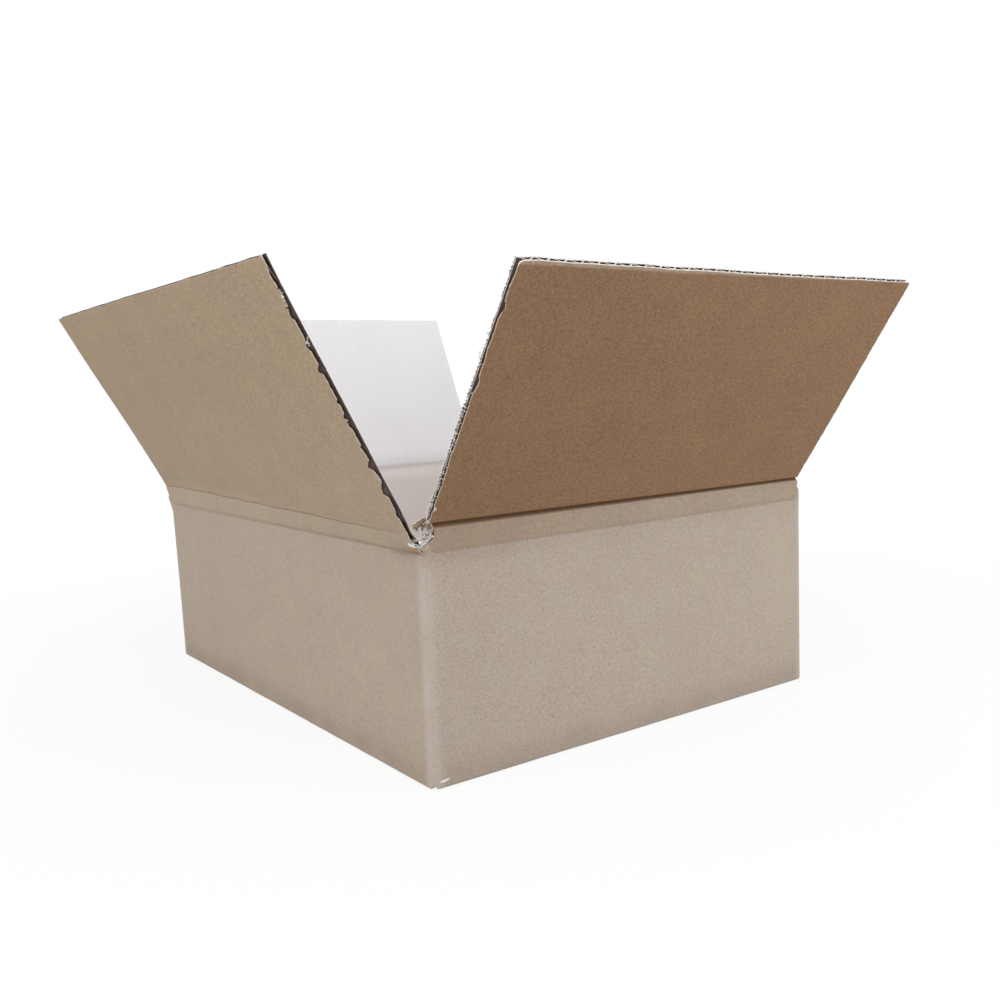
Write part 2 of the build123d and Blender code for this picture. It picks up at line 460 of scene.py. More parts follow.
def flute_group():
    """Faint lines of the flutes under a liner: a sine of the place across them, broken by slow noise."""
    if "Flute lines" in bpy.data.node_groups:
        return bpy.data.node_groups["Flute lines"]
    tree, ins, outs = new_group("Flute lines", ("Color", "Pitch", "Strength"), ("Color", "Height"))
    op = partial(maths, tree)
    board = add_node(tree, "UVMap")
    board.uv_map = "board"
    where = board.outputs["UV"]
    across = add_node(tree, "SeparateXYZ", Vector=where).outputs["X"]
    wave = op("SINE", op("DIVIDE", op("MULTIPLY", across, 2 * np.pi), ins["Pitch"]))
    streak = noise(tree, turned(tree, where, (0, 0, 0), (420.0, 9.0, 1.0)), 1.0, 3.0, 0.6)
    line = op("MULTIPLY_ADD", wave, 0.4, op("MULTIPLY", streak, 1.6))
    shade = op("MULTIPLY_ADD", line, ins["Strength"], 1.0)
    grey = add_node(tree, "CombineColor", Red=shade, Green=shade, Blue=shade)
    tree.links.new(mixed(tree, 1.0, ins["Color"], grey.outputs[0], "MULTIPLY"), outs["Color"])
    tree.links.new(wave, outs["Height"])
    return tree


def wear_group():
    """Scuffed paper: a mark on the mesh, broken up by noise, mixes in a worn colour."""
    if "Scuffed paper" in bpy.data.node_groups:
        return bpy.data.node_groups["Scuffed paper"]
    tree, ins, outs = new_group("Scuffed paper", ("Color", "Worn color", "Mark"), ("Color",))
    where = add_node(tree, "TexCoord").outputs["Object"]
    broken = maths(tree, "ADD", noise(tree, where, 520.0, 4.0, 0.65), ins["Mark"])
    mask = maths(tree, "MULTIPLY", span(tree, broken, 0.05, 0.95), span(tree, ins["Mark"], 0.02, 0.25))
    tree.links.new(mixed(tree, mask, ins["Color"], ins["Worn color"]), outs["Color"])
    return tree


def mark(tree, name):
    """Value of a point mark of the mesh."""
    node = tree.nodes.new("ShaderNodeAttribute")
    node.attribute_name = name
    return node.outputs["Fac"]


PAPER_ROUGHNESS = 0.88
PAPER_GLOSS = 0.25
RELIEF_DEPTH = 0.12 * MM   # depth of the paper's bump


def paper(name, low, high=None, by="lift", band=None, stain=None, worn=None, dark=(0.105, 0.062, 0.040),
          cloud=0.14, grain=0.5, specks=0.34, hue=0.0, flutes=0.0, bump=0.3):
    """Paper material: tone from low by band and painted warm shade to high, painted shade in creases, worn
    where scuffed.
    """
    if name in bpy.data.materials:
        return bpy.data.materials[name]
    material = bpy.data.materials.new(name)
    material.use_nodes = True
    tree = material.node_tree
    shader = tree.nodes["Principled BSDF"]
    shader.inputs["Roughness"].default_value = PAPER_ROUGHNESS
    shader.inputs["Specular IOR Level"].default_value = PAPER_GLOSS
    tone = tuple(low)
    # The band, warm shade and lift marks mix in painted shaded copies of the same paper.
    for key, other in (("band", band), ("stain", stain), (by, high)):
        if other is not None:
            tone = mixed(tree, mark(tree, key), tone, tuple(other))
    if band is not None:
        grain = maths(tree, "MULTIPLY_ADD", mark(tree, "lift"), 0.45 * grain, 0.55 * grain)
    fibre = add_node(tree, "Group", fibre_group(), Color=tone, Cloud=cloud, Grain=grain, Specks=specks,
                     Hue=hue)
    tone, height = fibre.outputs["Color"], fibre.outputs["Height"]
    if flutes:
        lines = add_node(tree, "Group", flute_group(), Color=tone, Pitch=sizes().flute_pitch, Strength=flutes)
        tone = lines.outputs["Color"]
        height = maths(tree, "MULTIPLY_ADD", lines.outputs["Height"], 0.5, height)
    if worn is not None:
        # Painted shade: the crease mark darkens creases, folds, gaps and undersides towards the dark colour.
        # On the walls it also darkens the foot and the near corner.
        tone = mixed(tree, mark(tree, "crease"), tone, dark)
        scuff = add_node(tree, "Group", wear_group(), Color=tone, Worn_color=tuple(worn),
                         Mark=mark(tree, "wear"))
        tone = scuff.outputs["Color"]
    relief = add_node(tree, "Bump", Strength=bump, Distance=RELIEF_DEPTH, Height=height)
    tree.links.new(relief.outputs["Normal"], shader.inputs["Normal"])
    tree.links.new(tone, shader.inputs["Base Color"])
    return material


def papers():
    """The papers of the box by use."""
    c = colours()
    white = {"cloud": 0.06, "grain": 0.08, "specks": 0.06, "flutes": 0.02}
    # Each dark colour is painted shade in creases and folds. The inside walls and the fluting are painted as
    # they look in shade.
    return SimpleNamespace(
        wall=paper("kraft wall", c.wall, worn=c.rubbed, grain=0.52, hue=0.07, stain=c.stain),
        front=paper("kraft front flap", c.wall, c.front_flap, band=c.front_band, worn=c.cut, cloud=0.2,
                    grain=1.0, hue=0.10, dark=(0.107, 0.048, 0.017), stain=c.stain),
        side=paper("kraft side flap", c.wall, c.side_flap, band=c.side_band, worn=c.cut, grain=0.85, hue=0.06,
                   dark=(0.120, 0.064, 0.034), stain=c.stain),
        inner=paper("inside walls", c.shaded_inside_wall, **white),
        inside=paper("white liner", c.shaded_inside_wall, c.inside, worn=c.torn, dark=(0.34, 0.31, 0.295), **white),
        torn=paper("torn paper", c.torn, cloud=0.5, grain=0.8, specks=0.3, bump=0.8),
        cut=paper("cut edge", c.cut, c.torn, by="white", cloud=0.4, grain=0.7, specks=0.3, bump=0.6),
        fluting=paper("fluting", c.fluting, worn=c.torn, cloud=0.3, grain=0.4, specks=0.3))


# Walls below the lower crease

CORNER_STEPS = 13    # points round a wall corner
STRAIGHT_STEPS = 64  # points along a wall between its corners
CORNER_CROWDING = 0.55  # power that draws the points of a wall towards its corners


def outline(radius):
    """Rounded rectangle of the walls: points, outward normals, distance to the nearest corner and run length.

    Each corner is a quarter circle about a centre one radius in from both walls; straights join them.
    """
    z = sizes()
    hx, hy = z.width / 2 - radius, z.depth / 2 - radius
    corners = np.array(((hx, -hy), (hx, hy), (-hx, hy), (-hx, -hy)))
    turn = np.linspace(0, np.pi / 2, CORNER_STEPS)
    share = np.linspace(-1, 1, STRAIGHT_STEPS + 2)[1:-1]
    share = 0.5 + 0.5 * np.sign(share) * np.abs(share) ** CORNER_CROWDING
    points, normals, near = [], [], []
    for k, centre in enumerate(corners):
        angle = turn + (k - 1) * np.pi / 2
        normal = np.stack([np.cos(angle), np.sin(angle)], 1)
        start, end = (middle + radius * normal[-1] for middle in (centre, corners[(k + 1) % 4]))
        points += [centre + radius * normal, part_way(start, end, share[:, None])]
        normals += [normal, np.repeat(normal[-1:], STRAIGHT_STEPS, 0)]
        straight = np.linalg.norm(end - start) * np.minimum(share, 1 - share)
        near += [radius * np.abs(turn - np.pi / 4), radius * np.pi / 4 + straight]
    points, normals, near = (np.concatenate(rows) for rows in (points, normals, near))
    run = np.concatenate([[0.0], np.cumsum(np.linalg.norm(np.diff(points, axis=0), axis=1))])
    return points, normals, near, run


def crease_dip(distance):
    """Dip of the outer paper along the lower crease: a bell curve of the distance from it."""
    return 0.28 * MM * bell(distance, 0.9)


def right_bow(x, y):
    """Outward shift of the right wall and of the bottom beside it, full at the front and eased to none."""
    right = wall_table()[1]
    return right.base[0] * ease(0.5 - y / right.width) * ease(2 * x / sizes().width)


CREASE_STRIP = 5   # millimetres below the lower crease in which the walls have more rows


def wall_section():
    """Section of a wall from foot over top and down inside: offsets, heights, papers and outside rows."""
    z = sizes()
    bend = np.linspace(0, np.pi / 2, 7)
    foot_n, foot_z = -z.foot_radius * (1 - np.sin(bend)), z.foot_radius * (1 - np.cos(bend))
    strip = z.crease_z - CREASE_STRIP * MM
    rise = np.concatenate([np.linspace(z.foot_radius, strip, 46)[1:], np.linspace(strip, z.crease_z, 21)[1:]])
    down = np.linspace(z.crease_z, z.board / 2, 21)
    top = [-z.board / 3, -2 * z.board / 3]
    offset = np.concatenate([[-z.board], foot_n, 0 * rise, top, 0 * down - z.board])
    height = np.concatenate([[0.0], foot_z, rise, [z.crease_z, z.crease_z], down])
    outer = len(bend) + len(rise)
    kind = np.repeat([0, 2, 1], [outer, 3, len(down)])
    row = np.arange(len(height))
    outside = ((row >= 1) & (row <= outer)).astype(float)
    return offset[:, None], height[:, None], kind, outside[:, None]


def wall_marks(ring, level, height, flat):
    """Wear and painted shade of the walls.

    Corners and foot are rubbed pale. Painted shade lies along the crease, below the overhanging flaps and at
    the torn corner; the walls are darker low down and near the front left corner, and the left wall gets a
    painted warm light. Each is a sum or maximum of bell curves and ramps of height and corner distance.
    """
    z = sizes()
    (x, y), (nx, ny), near, run = ring
    front, left = y < 0, nx < -0.5
    near_end = front & (x < 0)
    up = height - z.crease_z
    patchy = 0.8 + 0.3 * drift(run, level, z.seed + 2, 0.006)
    rubbed = 0.65 * bell(near, 4.3, power=4) * patchy
    rubbed = rubbed * (1 - 0.45 * near_end * ny ** 4) * (1 - 0.55 * near_end * ramp(up, -12, 10))
    rubbed = np.maximum(rubbed, 0.85 * bell(near, 4.0) * bell(level, 2.0))
    # Darker towards the foot and within about 5 cm of the front left corner.
    darkening = 0.14 * bell(height, 6, at=4) + 0.045 * bell(height, 25)
    darkening = darkening * (1 + 0.35 * drift(run, level, z.seed + 30, 0.012)) + 0.055 * bell(near, 50) * near_end
    # Painted shade: the front and back walls are darker just below their bands, in the soft shadow of the
    # overhanging flaps, more so towards the left.
    flap_shade = (0.06 + 0.08 * (1 - ramp(x + z.width / 2, 0, 90))) * ny ** 2
    darkening = darkening + flap_shade * ramp(up, -9, 9)
    darkening = darkening * (1 - 0.8 * bell(near, 5, power=4) * ramp(-up, 0, 8))
    torn_end = (near < 9 * MM) & (x < -z.width / 2 + 3.2 * MM) & front
    left_end = (left & front) * bell(near, 11, at=14)
    # Painted shade along the lower crease, in the slot gap at the torn corner, and below the overhang at the
    # left wall's front end.
    painted_dark = np.maximum(darkening, 0.13 * bell(level - z.crease_z, 0.9) * flat)
    painted_dark = np.maximum(painted_dark, 0.30 * bell(up, 1.0, at=0.7) * torn_end)
    painted_dark = np.maximum(painted_dark, 0.24 * left_end * bell(up, 1.0, at=-0.7))
    # Painted warm light on the whole left wall, and warm shade at its front end below the crease.
    stain = 0.15 * left + 0.4 * left_end * bell(up, 2.0)
    return {"wear": rubbed, "crease": painted_dark, "stain": stain}


def build_walls():
    """Wall ring: the section carried round the outline, its corners raised to the bottoms of the slots."""
    z, p = sizes(), papers()
    points, normals, near, run = outline(z.corner_radius)
    (x, y), (nx, ny) = points.T, normals.T
    offset, level, kind, outside = wall_section()
    torn_top = np.where(x > 0, 6.6 * MM, 6.0 * MM * ny ** 2)
    reach = np.where(y < 0, torn_top, z.slot_rise) * bell(near, 3.4, power=8)
    reach = reach * (1 + 0.12 * wander(run, z.seed + 12, 1.5 * MM))
    raised = reach * ramp(level - z.crease_z, -CREASE_STRIP, CREASE_STRIP)
    height = level + raised
    flat = ramp(near, 6, 30)
    swell = 0.5 * MM * drift(run, level, z.seed, 0.055) * ramp(level, 0, 20)
    dent = 0.14 * MM * drift(run, level, z.seed + 1, 0.013)
    uneven = (swell + dent) * flat * ramp(z.crease_z - level, 0, 15)
    left_slope, end_slope = np.tan(np.radians((24, 4)))
    slope = left_slope * np.minimum(nx, 0) ** 2 + end_slope * ny ** 2
    offset = offset + outside * (uneven - crease_dip(level - z.crease_z)) + raised * slope
    height = np.where(height < 3 * MM, np.maximum(height, 1.7 * MM * bell(near, 1.1)), height)
    left = wall_table()[3]
    out = part_way(*left.base, ease(0.5 - y / left.width)) * ease(-2 * x / z.width)
    across = x + offset * nx - out * np.clip(height / z.crease_z, 0, 1) ** 1.3 + right_bow(x, y)
    grid = np.stack([across, y + offset * ny, height], -1)
    rows, cols = height.shape
    shape = grid.reshape(-1, 3), grid_quads(rows, cols, closed=True, looped=True), np.repeat(kind, cols)
    uv = np.stack([np.broadcast_to(run, height.shape), height], -1).reshape(-1, 2)
    marks = wall_marks((points.T, normals.T, near, run), level, height, flat)
    marks = {key: value * outside for key, value in marks.items()}
    piece = make_piece("wall_ring", shape, [p.wall, p.inner, p.torn], uv, marks)
    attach(piece, "box")
    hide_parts("box_body")


BOTTOM_STEPS = 40  # points of a bottom flap's net, each way
BOTTOM_GAP = 0.6 * MM   # cut gaps between the bottom flaps and the walls


def flat_board(name, x, y, heights, seed):
    """Closed level board between two heights, its net sagging slowly by a fraction of a millimetre."""
    p = papers()
    xs, ys = np.meshgrid(np.linspace(*x, BOTTOM_STEPS), np.linspace(*y, BOTTOM_STEPS))
    sag = 0.12 * MM * drift(xs, ys, seed, 0.04)
    xs = xs + right_bow(xs, ys)
    top = np.stack([xs, ys, heights[1] + sag], -1)
    under = np.stack([xs, ys, 0 * xs + heights[0]], -1)
    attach(make_piece(name, slab(top, under), [p.inner, p.wall, p.torn], two_sided_uv(xs, ys)), "box")


def build_bottom():
    """Four bottom flaps: the long pair below with its seam, the short pair across them inside."""
    z = sizes()
    in_x, in_y = z.width / 2 - z.board, z.depth / 2 - z.board
    seam = z.seam_shift - z.seam / 2
    long_y, short_x = (-in_y + BOTTOM_GAP, in_y - BOTTOM_GAP), (-in_x + BOTTOM_GAP, in_x - BOTTOM_GAP)
    flat_board("bottom_left", (-in_x, seam), long_y, (0.0, z.board), 31)
    flat_board("bottom_right", (seam + z.seam, in_x), long_y, (0.0, z.board), 32)
    tip = z.depth / 2 - (z.width - z.seam) / 2
    inside = z.board + 0.02 * MM, 2 * z.board
    flat_board("bottom_front", short_x, (-in_y, -tip), inside, 45)
    flat_board("bottom_back", short_x, (tip, in_y), inside, 44)


TAB_BOARD = 2.6 * MM    # pressed board of the glued tab
TAB_MARGIN = 4 * MM     # tab's ends from the bottom and from the lower crease


def build_tab():
    """Glued tab inside the back right corner: a slanted-end strip lying on the right wall."""
    z, p = sizes(), papers()
    a, b = np.meshgrid(np.linspace(1, 0, 20), np.linspace(0, 1, 40))
    cut = a * z.tab_width / 4
    y = z.depth / 2 - z.board - a * z.tab_width
    height = part_way(2 * z.board + TAB_MARGIN + cut, z.crease_z - TAB_MARGIN - cut, b)
    x = z.width / 2 - z.board
    front = np.stack([x - TAB_BOARD * (1 - 0.25 * a), y, height], -1)
    points, faces, side = slab(front, np.stack([0 * y + x, y, height], -1))
    shape = points, faces[:, ::-1], side
    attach(make_piece("glue_tab", shape, [p.inner, p.fluting, p.torn], two_sided_uv(y, height)), "box")


# Bands and flaps

# Torn places of a flap's side by height above the fold, depth and flanks towards fold and tip, in millimetres
BITES = {
    ("left", 1): (
        (8.7, 1.9, 1.3, 3.6), (19.3, 3.2, 1.1, 5.2), (26.5, -1.3, 3.0, 3.0), (32.1, 3.3, 1.3, 3.2),
        (41.6, 1.3, 3.5, 0.5), (51.2, 2.0, 1.6, 0.9), (52.5, 2.2, 0.6, 0.8), (54.6, 2.6, 0.9, 2.2),
        (61.4, 1.5, 0.9, 1.3), (74.9, 3.0, 1.1, 3.2), (85.9, 1.8, 2.4, 2.8), (98.0, 1.9, 1.2, 11.5),
        (101.1, -1.1, 0.7, 0.7), (103.2, -2.2, 0.8, 0.8), (105.0, -1.7, 0.7, 0.7), (107.7, -2.5, 0.9, 0.9),
        (114.0, 1.1, 3.0, 5.0)),
    ("front", -1): (
        (9.8, 1.3, 1.6, 1.4), (22.0, 0.4, 2.0, 3.0), (36.0, -0.4, 4.0, 4.0), (70.6, 1.0, 5.0, 2.6),
        (84.0, -0.3, 4.0, 4.0), (101.6, 1.4, 4.0, 2.4), (115.5, 0.6, 6.0, 6.0)),
    ("back", 1): ((70.0, 0.7, 1.5, 3.0), (25.0, 0.5, 2.0, 4.0)),
    ("right", -1): ((88.0, 1.2, 1.5, 4.0), (40.0, 0.8, 2.0, 5.0)),
    ("right", 1): ((60.0, 1.0, 1.5, 4.0),),
}


def bite_line(wall, side, t):
    """Inset and whiteness of torn places along a cut side.

    A bite is a notch with straight flanks of its own lengths towards fold and tip. One of negative depth is a
    tuft that stands out, white where it is slender.
    """
    inset, white = np.zeros_like(t), np.zeros_like(t)
    for at, deep, below, above in BITES.get((wall.name, side), ()):
        x = t - at * MM
        notch = np.clip(1 - np.where(x < 0, -x / (below * MM), x / (above * MM)), 0, 1) ** 0.75
        inset += deep * MM * notch
        if deep < 0 and below < 2:
            white = np.maximum(white, notch)
    return inset, white


SIDE_WEAR = {   # seed step, raggedness, and added inset at the torn corner on the left and on the front flap
    "outer": (0, 0.16, 1.5, -0.25),
    "inner": (40, 0.05, 1.6, 0.15),
    "medium": (80, 0.10, 1.95, 0.35),
}


def side_cut(wall, side, layer, t):
    """Inset of a sheet's side from the wall's end along t: slot below the fold, flap above, then wear.

    layer is outer, inner or medium. Wear is a random line, the torn places of the outer paper and, on the
    inner paper of the front flap, the teeth of a blunt cut.
    """
    z = sizes()
    seed_step, rag, left_more, front_more = SIDE_WEAR[layer]
    seed = z.seed + 7 * len(wall.name) + 3 * side + seed_step
    edge = wall.name, side
    inset = part_way(z.slot_inset, wall.inset, ramp(t, -0.5, 4))
    if edge == ("left", 1):
        inset = part_way(z.slot_inset, wall.inset + left_more * MM, ramp(t, 5, 7))
        inset = inset - 2.7 * MM * (1 - ramp(t, -8.7, 2.6))
        rag = rag * 1.6
    elif edge == ("left", -1):
        inset = wall.inset + 0.6 * MM * ramp(-t, 0, 8)
    elif edge == ("right", -1):
        inset = part_way(4.5 * MM, wall.inset, ramp(t, 2, 12))
    elif edge == ("front", 1):
        inset = 2.0 * MM + 1.1 * MM * ramp(t, -1.5, 3)
    elif edge == ("front", -1):
        above, high = ramp(t, 0, 5), ramp(t, 55, 30)
        inset = part_way(5.5 * MM, wall.inset, ramp(t, -0.3, 4.3))
        inset = part_way(3.2 * MM, inset, ramp(t, -6.4, 2.4))
        inset = inset + (front_more + 0.5 * high) * MM * above
        if layer == "inner":
            teeth = np.abs((t / (1.6 * MM)) % 1 - 0.5) * 2
            inset = inset - 0.95 * MM * teeth * above * (1 - 0.7 * high)
            rag = 0.3
    rough = wander(t, seed, 0.8 * MM) + 0.8 * wander(t, seed + 1, 2.6 * MM)
    inset = inset + rag * MM * rough
    return inset + bite_line(wall, side, t)[0] if layer == "outer" else inset


def leaf_rows():
    """Rows of a sheet: b below the fold as shares of the band, above it as shares of the flap."""
    reach = sizes().flap_reach
    low = -np.array([1, 0.95, 0.9, 0.84, 0.76, 0.66, 0.56, 0.46, 0.36, 0.28, 0.21, 0.15, 0.11, 0.075, 0.05,
                     0.025])
    near = np.array([0, 0.25, 0.5, 0.75, 1.0, 1.25, 1.5, 1.8, 2.1, 2.5, 3.0, 3.6, 4.3, 5.2, 6.2]) * MM / reach
    middle = np.linspace(7.0 * MM / reach, 1 - 2.2 * MM / reach, 270)
    tip = 1 - np.array([1.6, 1.0, 0.6, 0.35, 0.15, 0.0]) * MM / reach
    return np.concatenate([low, near, middle, tip])


COLUMN_STEP = 8 * MM   # distance between the columns of a sheet away from its sides


def leaf_columns(width):
    """Columns of a sheet as shares of its width, close together at both sides."""
    edge = np.array([0, 0.3, 0.6, 1.0, 1.5, 2.1, 3.0, 4.2, 6.0, 8.5]) * MM / width
    middle = np.linspace(edge[-1], 1 - edge[-1], int(width / COLUMN_STEP))[1:-1]
    return np.concatenate([edge, middle, 1 - edge[::-1]])


ROUND_CORNERS = {   # radius in millimetres of a flap's left and right corner, where worn unlike the others
    "front": (2.6, 1.2),
    "left": (1.2, 1.5),
}


def side_run(wall, side, b):
    """Distance t up from the fold along one side of a sheet."""
    fold, tip, _, band = fold_point(wall, 0.5 + 0.5 * side)
    return np.where(b < 0, b * band, b * np.hypot(tip[0] - fold[0], tip[1] - fold[1]))


def cut_sides(wall, layer, b):
    """Places along the wall of a sheet's left and right side, row by row."""
    low = -wall.width / 2 + side_cut(wall, -1, layer, side_run(wall, -1, b))
    return low, wall.width / 2 - side_cut(wall, 1, layer, side_run(wall, 1, b))


def front_longer(wall, s):
    """Length by which the front flap is longer at its left end."""
    return 1.4 * MM * (1 - ease(share_of(wall, s))) * (wall.name == "front")


def leaf_points(wall, layer, b, a):
    """Place along the fold, flap share and side distances of a sheet's net, with its sides and tip trimmed.

    The tip is cut back by a random line, and by a quarter circle at a corner that is worn round.
    """
    z = sizes()
    low, high = cut_sides(wall, layer, b)
    s = part_way(low[:, None], high[:, None], a)
    end = s[-1]
    trim = 0.12 * MM * (1 + wander(end, z.seed + 19 + len(wall.name), 2.3 * MM)) - front_longer(wall, end)
    if layer == "outer":
        for radius, inward in zip(ROUND_CORNERS.get(wall.name, (1.5, 1.5)), (end - low[-1], high[-1] - end)):
            r = radius * MM
            trim = trim + r - np.sqrt(r * r - (r - np.clip(inward, 0, r)) ** 2)
    share = np.where(b[:, None] > 0, b[:, None] * (1 - trim / z.flap_reach), b[:, None])
    return s, share, s - low[:, None], high[:, None] - s


def board_depth(wall, s, t):
    """Thickness of the board: that of the worn flaps, pressed thin at the fold by a bell curve of t.

    The front side of the left flap is crushed, by another bell curve of the distance from that side.
    """
    z = sizes()
    full = part_way(z.board, z.flap_board, ramp(t, -8, 8))
    if wall.name == "left":
        full = full - 0.9 * MM * bell(wall.width / 2 - s, 12) * ramp(t, 0, 8)
    return part_way(full, z.pressed, bell(t, 5.0))


def flap_sag(wall, s, t):
    """Slow waviness of a flap, none at its fold."""
    seed = sizes().seed + 3 + len(wall.name)
    return (0.8 * MM * drift(s, t, seed, 0.07) + 0.15 * MM * drift(s, t, seed + 6, 0.016)) * ramp(t, 0, 6)


def fold_line(wall, s):
    """Wandering of the crack along a long fold, and how strongly it shows."""
    seed = sizes().seed
    line = 0.35 * MM * wander(s, seed + 5, 0.016) + 0.18 * MM * wander(s, seed + 6, 0.005)
    if wall.name != "left":
        return line, 1.0
    share = share_of(wall, s)
    return line, (1 - 0.3 * ease((share - 0.84) / 0.1)) * (1 - ease((share - 0.95) / 0.04))


def groove(wall, s):
    """Half width of the groove in a short fold, narrower towards the right."""
    return (1.15 - 0.4 * ease(share_of(wall, s))) * MM


def fold_dip(wall, s, t):
    """Inward dip of the outer paper at a fold: a deep groove on the short walls, a thin crack on the long."""
    if wall.short:
        wide = groove(wall, s)
        return 1.3 * MM * np.exp(-((t - wide) / wide) ** 2) - 0.25 * MM * bell(t, 0.8, at=-0.9)
    line, shown = fold_line(wall, s)
    return 0.4 * MM * shown * bell(t - line, 0.4)


def fold_shade(wall, s, t):
    """Painted shade in a fold, along the same line as its dip."""
    if wall.short:
        wide = groove(wall, s)
        return 0.95 * np.exp(-((t - 0.95 * wide) / (1.15 * wide)) ** 4)
    line, shown = fold_line(wall, s)
    return 0.45 * shown * bell(t - line, 0.36)


def bend_piece(piece):
    """Bakes a sheet's transform into its points."""
    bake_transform(piece)


INNER_START = (-1.25, -1.1, -1.04)   # rows by which the inner paper reaches down inside the wall


def leaf_net(wall, layer):
    """Net of a liner's points: its leaf line, and the distances that shape and wear depend on."""
    rows = leaf_rows() if layer == "outer" else np.concatenate([INNER_START, leaf_rows()])
    s, share, near_low, near_high = leaf_points(wall, layer, rows, leaf_columns(wall.width))
    line = leaf_line(wall, s, share)
    t, rise = line[4:]
    to_tip = sizes().flap_reach * (1 - np.minimum(share, 1))
    return SimpleNamespace(s=s, t=t, rise=rise, line=line, near_low=near_low, near_high=near_high,
                           near=np.minimum(near_low, near_high), to_tip=to_tip, up=ramp(t, 0, 6))


def outer_marks(wall, net):
    """Wear and painted shade of an outer liner: frayed edges, painted shade in folds, painted warm shade at
    the torn corner.
    """
    s, t, rise, up = net.s, net.t, net.rise, net.up
    torn = np.maximum(0.3 * fall(net.near, 0.25), 0.55 * fall(net.to_tip, 0.35))
    for side, near in ((-1, net.near_low), (1, net.near_high)):
        torn = np.maximum(torn, bite_line(wall, side, t)[1] * fall(near, 0.9))
    # Painted shade along the lower crease.
    crease = bell(rise, 1.2, at=0.2)
    painted_dark = np.maximum(fold_shade(wall, s, t), 0.15 * crease)
    stain = 0 * t
    lift = ramp(t, -0.5, 2)
    if wall.name == "left":
        # Painted shadow below the overhanging band near the left flap's front end, and painted warm shade
        # there.
        painted_dark = np.maximum(painted_dark, 0.38 * bell(net.near_high, 9) * crease)
        stain = 0.85 * bell(net.near_high, 14) * bell(rise, 3.0, at=0.8)
        stain = stain + 0.12 * bell(net.near_high, 50) * (t < 0)
    if wall.name == "front":
        share = share_of(wall, s)
        # Painted shade and warm shade at the front band's left end in the front flap's shadow, and painted
        # shade on the flap's left part.
        left_end = (1 - ease(share / 0.55)) * (t < 0)
        shaded = 0.08 * (1 - ease(share / 0.6)) * (t > 0)
        stain = 0.32 * left_end * ramp(rise, -1.0, 3)
        painted_dark = np.maximum(painted_dark, 0.05 * left_end * ramp(rise, -1.5, 3) + shaded)
    else:
        # Painted light: the side flaps' shaded colour comes in over their height, so their lower part is
        # lighter.
        lift = lift * (0.64 + 0.36 * ramp(t, 0, 90))
    # The white mark whitens the cut edge within about a millimetre of the tip. This is partly white torn
    # fibres and partly a painted highlight, where light from above falls on the top edge.
    return {"wear": torn * up, "crease": painted_dark, "stain": stain, "lift": lift, "band": ramp(rise, -1.2, 3.0),
            "white": fall(net.to_tip, 1.0) * (wall.name != "left")}


def inner_marks(wall, net):
    """Wear and painted shade of an inner liner: torn sides, but for the left flap's, and painted shade along
    the fold.
    """
    t = net.t
    torn = 0.5 * fall(net.near, 0.6) * (wall.name != "left")
    if wall.name == "front":
        torn = 0.6 - 0.25 * ramp(t, 55, 30) + 0.35 * wander(t, sizes().seed + 8, 1.2 * MM)
        torn = torn * ease(1.3 - net.near_low / (1.7 * MM))
    # Painted shade: the crease mark is the grey line of the fold's groove. The lift mark switches from the
    # shaded inside-wall paper below the fold to the lit white liner above it.
    return {"wear": torn * net.up, "crease": 0.35 * bell(t, 1.6), "lift": ramp(t, -0.5, 2)}


def build_liner(wall, layer):
    """Outer or inner paper of one wall's band and flap: a closed sheet offset inward from the leaf line."""
    z, p = sizes(), papers()
    net = leaf_net(wall, layer)
    s, t = net.s, net.t
    wave = np.sin(2 * np.pi * s / z.flute_pitch + 2 * wander(s[-1], z.seed + 4, 0.02))
    uneven = flap_sag(wall, s, t) + 0.22 * MM * wave * fall(net.to_tip, 2.5) * net.up
    thick = z.liner + 0.30 * MM * fall(net.to_tip, 0.5) * net.up
    if layer == "outer":
        start = fold_dip(wall, s, t) + crease_dip(net.rise) + uneven
        marks = outer_marks(wall, net)
        # The outer liner's back face, inside the board, is painted shade in the dark fluting paper.
        materials = [p.front if wall.name == "front" else p.side, p.fluting, p.cut]
    else:
        start = board_depth(wall, s, t) + uneven + 0.03 * MM * (net.rise < 0) - thick
        marks = inner_marks(wall, net)
        # The inner liner's face inside the board, and the left flap's torn side, are painted shade in the
        # dark fluting paper.
        materials = [p.fluting, p.inside, p.fluting if wall.name == "left" else p.torn]
    shape = slab(below_face(wall, s, net.line, start), below_face(wall, s, net.line, start + thick))
    marks = {key: np.tile(value.ravel(), 2) for key, value in marks.items()}
    piece = make_piece(f"{wall.name}_{layer}_liner", shape, materials, two_sided_uv(s, t), marks)
    bend_piece(piece)
    if layer == "outer":
        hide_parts(wall.body)


FLUTE_STEPS = 10   # points across one flute


